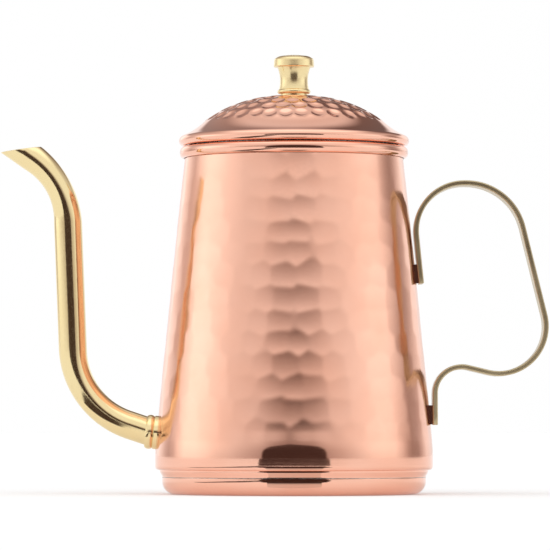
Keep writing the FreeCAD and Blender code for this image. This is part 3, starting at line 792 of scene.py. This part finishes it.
# %% Bend the handle
STRIP_ROUND, STRIP_RUN_STEP, STRIP_TURN_STEP = 0.45, 3.0, math.radians(3.0)
half, reach = STRIP / 2.0, STRIP_WIDTH / 2.0
section = rounded([(-half, -reach, STRIP_ROUND), (half, -reach, STRIP_ROUND),
                   (half, reach, STRIP_ROUND), (-half, reach, STRIP_ROUND)], 4)
strip = bmesh.new()
spots = [strip.verts.new(leg_start + upper_foot[2] * thick + Vector((0.0, wide, 0.0)))
         for thick, wide in section]
loop = [strip.edges.new(pair) for pair in zip(spots, spots[1:] + spots[:1])]
strip.faces.new(spots)
last_loop = carry(strip, loop, [leg_start, front, back, heel, hook, leg_end],
                  (front_bend, BACK_BEND, HEEL_BEND, HOOK_BEND), STRIP_RUN_STEP, STRIP_TURN_STEP)
bmesh.ops.edgeloop_fill(strip, edges=last_loop)
bmesh.ops.recalc_face_normals(strip, faces=strip.faces[:])
bmesh.ops.bevel(strip, geom=loop + last_loop, offset=STRIP_ROUND * 0.8, offset_type="OFFSET", affect="EDGES",
                segments=3, profile=0.5, material=-1)
finish_piece("bent_handle", strip, [strip_brass], "kettle", "polished_brass", "handle_strip")

# %% [markdown]
# ## The rivets
# Two rivets hold each foot. Their ends are spread into a countersink in the strip and filed almost flush, and
# their heads close on washers inside the wall. Flat discs on the strip would look the same from outside, but
# the heads show in the open mouth. So one whole outline is turned for each and laid along the way out.

# %% Set the rivets
RIVET, SINK, SINK_DEPTH, HEAD, HEAD_HEIGHT, PROUD = 1.5, 2.5, 1.0, 2.8, 1.3, 0.2
HEAD_SAG, END_SAG, RIVET_STEPS = 0.29, 0.05, 40


def set_rivets(name, node, foot, pad):
    """The two rivets of one foot, from the washers inside to the dressed ends outside."""
    spot, _, out = foot
    drop = (RIVET_SPACING / 2.0) ** 2 / (2.0 * side_radius(spot.z))
    head_low = -(pad + drop + 2.0 * WALL)
    line = [Vector((0.0, head_low - HEAD_HEIGHT))]
    line += arc_points((0.0, head_low - HEAD_HEIGHT), (HEAD, head_low), -HEAD_SAG, 8)
    line += [Vector((RIVET, head_low)), Vector((RIVET, STRIP - SINK_DEPTH)), Vector((SINK, STRIP))]
    line += arc_points((SINK, STRIP), (0.0, STRIP + PROUD), -END_SAG, 6)
    rivets = bmesh.new()
    across = Vector((0.0, 1.0, 0.0))
    lay = Matrix((across.cross(out), across, out)).transposed().to_4x4()
    for side in (-RIVET_SPACING / 2.0, RIVET_SPACING / 2.0):
        one = turned(line, RIVET_STEPS, closed=False)
        one.transform(Matrix.Translation(spot + across * side) @ lay)
        mesh = bpy.data.meshes.new("one_rivet")
        one.to_mesh(mesh)
        one.free()
        rivets.from_mesh(mesh)
        bpy.data.meshes.remove(mesh)
    finish_piece(name, rivets, [polished_brass], "kettle", "polished_brass", node)


set_rivets("upper_set_rivets", "upper_handle_rivets", upper_foot, UPPER_PAD)
set_rivets("lower_set_rivets", "lower_handle_rivets", lower_foot, LOWER_PAD)

# %% [markdown]
# ## Pieces that are right as they are
# The saddles under the handle, the washers inside and the parts under the lid keep the shapes of the solids.
# They could be modelled again too, but they are small or hidden, and nothing would be gained.
# They only get their metals: copper outside, tinned copper inside, and plated steel for screw and washer.

# %% Dress the solids that stay
kept = {
    "upper_handle_pad": polished_copper,
    "lower_handle_pad": polished_copper,
    "upper_rivet_burrs": tinned_copper,
    "lower_rivet_burrs": tinned_copper,
    "lid_skirt": tinned_copper,
    "knob_washer": plated_steel,
    "knob_screw": plated_steel,
}
for node, finish in kept.items():
    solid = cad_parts[node]
    solid.data.materials.clear()
    solid.data.materials.append(finish)
print("solids kept:", sorted(kept))

# %% [markdown]
# ## Floor
# The kettle stands on a wide pale floor. A curved sheet of paper could hide the line where floor and wall
# meet. A flat floor is enough here, because it adds a little light of its own to what the camera and the
# reflections see: it meets the white background, and keeps the soft shadow under the kettle.

# %% Lay the floor
FLOOR_HALF = 15.0
PAPER, PAPER_GLOW = 0.86, 0.20
WHITE = (1.0, 1.0, 1.0, 1.0)


def stage_sheet(name, corners, finish):
    """A flat sheet of the stage through corners in metres."""
    sheet = bmesh.new()
    sheet.faces.new([sheet.verts.new(corner) for corner in corners])
    mesh = bpy.data.meshes.new(name)
    sheet.to_mesh(mesh)
    sheet.free()
    mesh.materials.append(finish)
    flat = bpy.data.objects.new(name, mesh)
    bpy.context.scene.collection.objects.link(flat)
    return flat


def stage_paper(name, colour):
    """A plain matt finish for the stage; gives the material and its surface node."""
    finish = bpy.data.materials.new(name)
    finish.use_nodes = True
    surface = finish.node_tree.nodes["Principled BSDF"]
    surface.inputs["Base Color"].default_value = colour
    surface.inputs["Roughness"].default_value = 0.9
    surface.inputs["Specular IOR Level"].default_value = 0.0
    return finish, surface


def on_floor(height, *corners):
    """Corners in plan, laid at a height."""
    return [(x, y, height) for x, y in corners]


# %% The floor's paper
paper, surface = stage_paper("floor_paper", (PAPER, PAPER, PAPER, 1.0))
tree = paper.node_tree
rays = add_node(tree, "ShaderNodeLightPath").outputs
mirrored = maths(tree, "ADD", rays["Is Glossy Ray"], rays["Is Transmission Ray"])
seen = maths(tree, "MINIMUM", maths(tree, "ADD", mirrored, rays["Is Camera Ray"]), 1.0)
tree.links.new(maths(tree, "MULTIPLY", seen, PAPER_GLOW), surface.inputs["Emission Strength"])
surface.inputs["Emission Color"].default_value = WHITE
stage_sheet("floor", on_floor(0.0, (-FLOOR_HALF, -FLOOR_HALF), (FLOOR_HALF, -FLOOR_HALF),
                              (FLOOR_HALF, FLOOR_HALF), (-FLOOR_HALF, FLOOR_HALF)), paper)
print("floor", 2.0 * FLOOR_HALF, "m wide")

# %% [markdown]
# ## Dark cloths
# Bright metal looks flat when all it mirrors is white, so a photographer lays dark cloth round the set.
# Dark panels could be drawn in the world instead, but those are far away. What lies close to the kettle shows
# only where the metal looks down at it, so it can be placed under one bend of the spout or at the foot.
# One cloth runs from in front of the kettle to far behind the camera, and one lies at the foot with a low
# card standing at its far edge. The one beside the spout is painted shade: it stands for the shadowed floor
# under the spout's lower bend, so that shade shows in the spout's reflection. They show in the metal only:
# the camera does not see them, and they neither shade the floor nor take light from it.

# %% Cloth finishes
CLOTH_TONE, CLOTH_COLOUR = 0.06, (0.070, 0.048, 0.044, 1.0)
FOOT_NEAR, FOOT_FAR, FADE_END = -0.054, -0.100, -0.090
cloth, _ = stage_paper("dark_cloth", CLOTH_COLOUR)
fading, surface = stage_paper("fading_cloth", CLOTH_COLOUR)
tree = fading.node_tree
place = add_node(tree, "ShaderNodeTexCoord").outputs["Object"]
nearness = add_node(tree, "ShaderNodeSeparateXYZ", {0: place}).outputs["Y"]
tone = spread(tree, nearness, FADE_END, FOOT_NEAR, CLOTH_TONE, PAPER)
grey = add_node(tree, "ShaderNodeCombineColor", {0: tone, 1: tone, 2: tone}).outputs[0]
tree.links.new(grey, surface.inputs["Base Color"])

# %% Lay the cloths
CLOTH_HEIGHT = 0.0003
FRONT_NEAR, FRONT_NEAR_HALF, FRONT_FAR_HALF = -0.45, 0.25, 8.2
FOOT_HALF, CARD_HALF, CARD_TIP, CARD_HEIGHT = 0.012, 0.032, 0.046, 0.009
cloths = {
    "front_cloth": on_floor(CLOTH_HEIGHT, (-FRONT_NEAR_HALF, FRONT_NEAR), (-FRONT_FAR_HALF, -FLOOR_HALF),
                            (FRONT_FAR_HALF, -FLOOR_HALF), (FRONT_NEAR_HALF, FRONT_NEAR)),
    # Painted shade: this dark sheet stands for the shadowed floor under the spout and shows only in its
    # reflection.
    "spout_painted_shade": on_floor(CLOTH_HEIGHT, (-0.080, -0.042), (-0.100, -0.030), (-0.130, -0.020),
                            (-0.150, -0.100), (-0.160, -0.300), (-0.084, -0.300), (-0.080, -0.150)),
    "foot_cloth": on_floor(CLOTH_HEIGHT, (-FOOT_HALF, FOOT_NEAR), (-CARD_HALF, FOOT_FAR),
                           (CARD_HALF, FOOT_FAR), (FOOT_HALF, FOOT_NEAR)),
    "foot_card": [(-CARD_HALF, FOOT_FAR, 0.0), (CARD_HALF, FOOT_FAR, 0.0),
                  (CARD_TIP, FOOT_FAR, CARD_HEIGHT / 2.0), (CARD_HALF, FOOT_FAR, CARD_HEIGHT),
                  (-CARD_HALF, FOOT_FAR, CARD_HEIGHT), (-CARD_TIP, FOOT_FAR, CARD_HEIGHT / 2.0)],
}
for name, corners in cloths.items():
    flag = stage_sheet(name, corners, fading if name == "foot_cloth" else cloth)
    flag.visible_camera = False
    flag.visible_diffuse = False
    flag.visible_shadow = False
print("cloths", sorted(cloths))

# %% [markdown]
# ## The light tent
# Shiny metal is photographed inside a tent of white cloth, so that it mirrors broad soft panels and not the
# room. Area lamps could stand round the kettle, but their edges would show as hard shapes in the metal, and
# a drawn tent fades from panel to panel. So the tent is drawn in the world: panels round the kettle by
# compass direction, a ceiling, and a dark opening for the camera, which is what gives the copper its dark
# middle. The wall behind the kettle is plain white, because it is the picture's background too.

# %% Directions in the tent
world = bpy.data.worlds.new("light_tent")
bpy.context.scene.world = world
world.use_nodes = True
tent = world.node_tree
tent.nodes.clear()
heading = add_node(tent, "ShaderNodeTexCoord").outputs["Generated"]
axes = add_node(tent, "ShaderNodeSeparateXYZ", {0: heading}).outputs
level = add_node(tent, "ShaderNodeCombineXYZ", {"X": axes["X"], "Y": axes["Y"]}).outputs[0]
level = add_node(tent, "ShaderNodeVectorMath", {0: level}, operation="NORMALIZE").outputs[0]
level = add_node(tent, "ShaderNodeSeparateXYZ", {0: level}).outputs
front_share = maths(tent, "SUBTRACT", 0.5, maths(tent, "MULTIPLY", level["Y"], 0.5))
side_share = maths(tent, "ADD", maths(tent, "MULTIPLY", axes["X"], 0.5), 0.5)


def ramp(value, stops):
    """A light level that follows a value through stops of place and light."""
    node = add_node(tent, "ShaderNodeValToRGB", {"Fac": value})
    node.color_ramp.interpolation = "LINEAR"
    marks = node.color_ramp.elements
    while len(marks) < len(stops):
        marks.new(0.5)
    for mark, (place, light) in zip(marks, stops):
        mark.position = place
        mark.color = (light, light, light, 1.0)
    return add_node(tent, "ShaderNodeSeparateColor", {0: node.outputs["Color"]}).outputs["Red"]


# %% Lower walls
# Each stop is a share of the way from the back, 0, round to the camera's side, 1, and the light there.
low_right = ramp(front_share, (
    (0.0, 1.0), (0.02, 0.95), (0.045, 1.15), (0.10, 1.15), (0.165, 0.70), (0.21, 0.46), (0.281, 0.42),
    (0.33, 0.55), (0.40, 0.95), (0.483, 1.28), (0.60, 1.32), (0.69, 1.24), (0.78, 1.02), (0.86, 0.80),
    (0.924, 0.63), (0.957, 0.53), (0.989, 0.41), (1.0, 0.35)))
low_left = ramp(front_share, (
    (0.0, 1.0), (0.02, 1.0), (0.045, 1.40), (0.10, 1.10), (0.15, 0.80), (0.192, 0.68), (0.25, 0.82),
    (0.30, 1.18), (0.379, 1.50), (0.483, 1.48), (0.587, 1.36), (0.687, 1.12), (0.78, 0.96), (0.86, 0.77),
    (0.924, 0.62), (0.957, 0.51), (0.989, 0.38), (1.0, 0.35)))
DUSK = 0.80
right_share = spread(tent, axes["X"], -0.1, 0.1, 0.0, 1.0)
low_walls = blend(tent, right_share, low_left, low_right)
off_back = spread(tent, front_share, 0.004, 0.04, 0.0, 1.0)
dusk = blend(tent, off_back, 1.0, spread(tent, axes["Z"], -0.05, 0.15, DUSK, 1.0))
low_walls = maths(tent, "MULTIPLY", low_walls, dusk)

# %% Higher walls
high_right = ramp(front_share, (
    (0.0, 1.0), (0.02, 0.95), (0.045, 1.15), (0.11, 1.05), (0.16, 0.80), (0.20, 0.50), (0.281, 0.30),
    (0.33, 0.42), (0.379, 0.64), (0.45, 0.96), (0.55, 1.06), (0.70, 1.04), (1.0, 0.97)))
high_left = ramp(front_share, (
    (0.0, 1.0), (0.02, 1.0), (0.045, 1.40), (0.117, 1.10), (0.15, 0.80), (0.192, 0.72), (0.25, 0.85),
    (0.30, 1.05), (0.38, 1.30), (0.483, 1.30), (0.587, 1.14), (0.687, 1.02), (0.78, 0.90), (1.0, 0.97)))
high_walls = blend(tent, right_share, high_left, high_right)
upper_back = ramp(side_share, ((0.0, 0.9), (0.30, 0.45), (0.43, 0.32), (0.50, 0.28), (0.57, 0.17),
                               (0.70, 0.20), (1.0, 0.9)))
upper_walls = blend(tent, spread(tent, axes["Y"], -0.3, 0.2, 0.0, 1.0), 1.0, upper_back)

# %% One shell from the floor to the ceiling
CEILING_FRONT, CEILING_BACK = 1.35, 0.80
middle_rise = ramp(axes["Z"], ((0.165, 0.0), (0.19, 0.07), (0.208, 0.16), (0.225, 0.30), (0.242, 0.47),
                               (0.259, 0.70), (0.278, 1.0)))
side_rise = ramp(axes["Z"], ((0.08, 0.0), (0.30, 1.0)))
rise = blend(tent, spread(tent, front_share, 0.93, 0.99, 0.0, 1.0), side_rise, middle_rise)
walls = blend(tent, rise, low_walls, high_walls)
walls = blend(tent, spread(tent, axes["Z"], 0.30, 0.40, 0.0, 1.0), walls, upper_walls)
ceiling = spread(tent, axes["Y"], -0.05, 0.40, CEILING_FRONT, CEILING_BACK)
shell = blend(tent, spread(tent, axes["Z"], 0.64, 0.84, 0.0, 1.0), walls, ceiling)

# %% The camera's opening
OPENING, OPENING_WIDE, OPENING_TALL = 0.06, 0.45, 0.15
across = maths(tent, "POWER", maths(tent, "DIVIDE", axes["X"], OPENING_WIDE), 2.0)
above = maths(tent, "POWER", maths(tent, "DIVIDE", axes["Z"], OPENING_TALL), 4.0)
opening = spread(tent, maths(tent, "ADD", across, above), 0.92, 1.08, 1.0, 0.0)
opening = maths(tent, "MULTIPLY", opening, maths(tent, "LESS_THAN", axes["Y"], 0.0))
shell = blend(tent, opening, shell, OPENING)

# %% Hang the tent
# Light that has passed a dimmer panel is a little warmer; at a level of one it is white.
GREEN_POWER, BLUE_POWER = 0.16, 0.20
green = maths(tent, "POWER", shell, GREEN_POWER)
blue = maths(tent, "POWER", shell, BLUE_POWER)
tint = add_node(tent, "ShaderNodeCombineColor", {0: 1.0, 1: green, 2: blue}).outputs[0]
tent_light = add_node(tent, "ShaderNodeBackground", {"Color": tint, "Strength": shell})
add_node(tent, "ShaderNodeOutputWorld", {"Surface": tent_light.outputs[0]})
bpy.context.scene.view_settings.view_transform = "Standard"
print("tent nodes", len(tent.nodes))

# %% [markdown]
# ## Camera
# The photograph was taken with a long lens from far away and low down, so upright lines stay upright and the
# underside of the lid's edge just shows. An orthographic camera would come close, but the slight curves of
# the ring and the base tell how high the lens stood. The view is a little over the object's width.

# %% Place the camera
DISTANCE, VIEW_WIDTH, SENSOR, FAR = 1750.0, 217.25, 36.0, 100.0
VIEW_MIDDLE, AIM_HEIGHT, CAMERA_HEIGHT = -7.5, 86.5, 27.0
aim_point = Vector((VIEW_MIDDLE, 0.0, AIM_HEIGHT))
stand = Vector((VIEW_MIDDLE, -DISTANCE, CAMERA_HEIGHT))
camera_data = bpy.data.cameras.new("camera")
camera_data.sensor_width = SENSOR
camera_data.lens = SENSOR * (aim_point - stand).length / VIEW_WIDTH
camera_data.clip_end = FAR
camera = bpy.data.objects.new("camera", camera_data)
camera.location = stand * MM
camera.rotation_mode = "QUATERNION"
camera.rotation_quaternion = (aim_point - stand).to_track_quat("-Z", "Y")
bpy.context.scene.collection.objects.link(camera)
bpy.context.scene.camera = camera
print("lens", round(camera_data.lens, 1), "mm")
